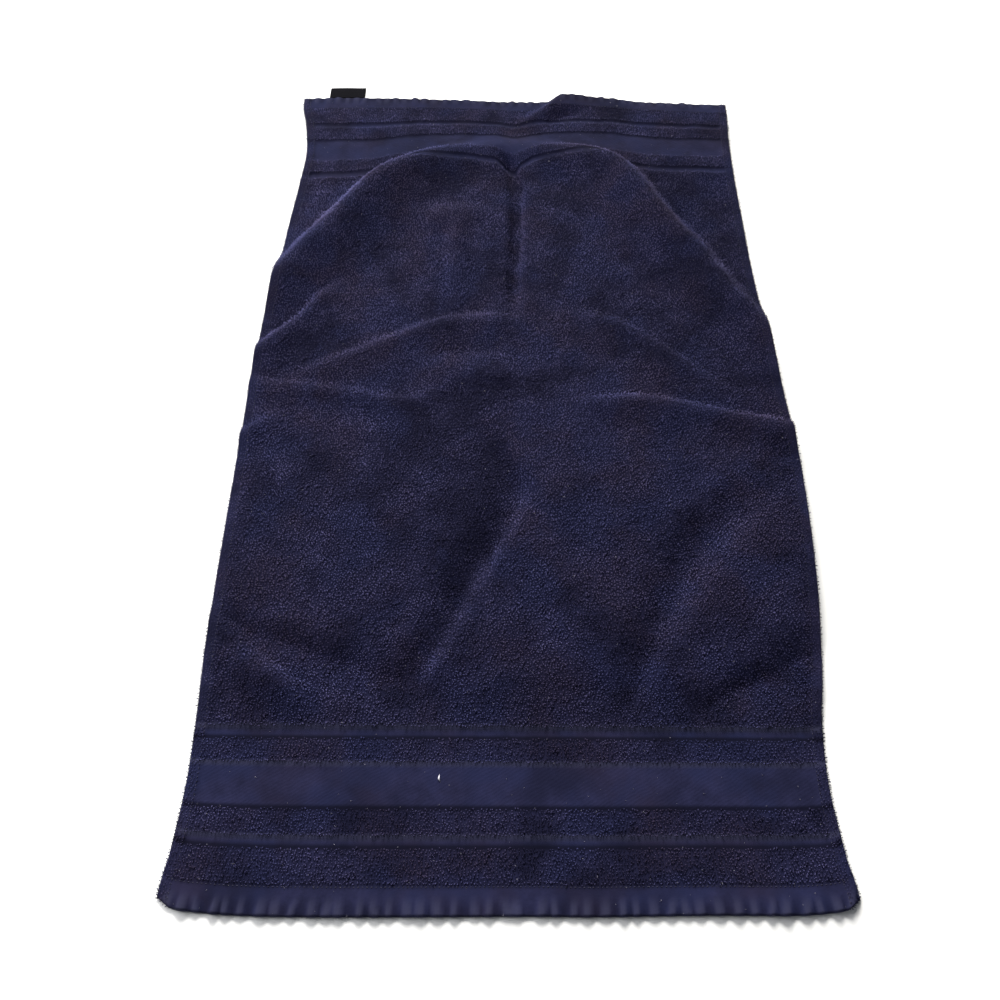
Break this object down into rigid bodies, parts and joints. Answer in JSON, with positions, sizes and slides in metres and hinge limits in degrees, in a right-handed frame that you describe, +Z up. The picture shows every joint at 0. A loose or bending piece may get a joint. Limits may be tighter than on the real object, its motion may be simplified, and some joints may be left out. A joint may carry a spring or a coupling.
{
  "type": "hand towel",
  "caption": "Terry hand towel laid out flat with its resting folds, woven stripes and flat borders at both ends, puckered end hems and a small blank label.",
  "frame": {"origin": "bottom centre of the laid towel's box, on the surface it lies on", "axes": "+Y along the towel towards the end with the label, +X across it, +Z up"},
  "size_m": [0.5046, 0.9112, 0.0324],
  "materials": {
    "terry": "dark navy cotton terry, matt and fuzzy",
    "tape": "black woven tape with a slight sheen"
  },
  "bodies": {
    "root": {"towel_cloth": "terry", "label": "tape"}
  },
  "joints": []
}
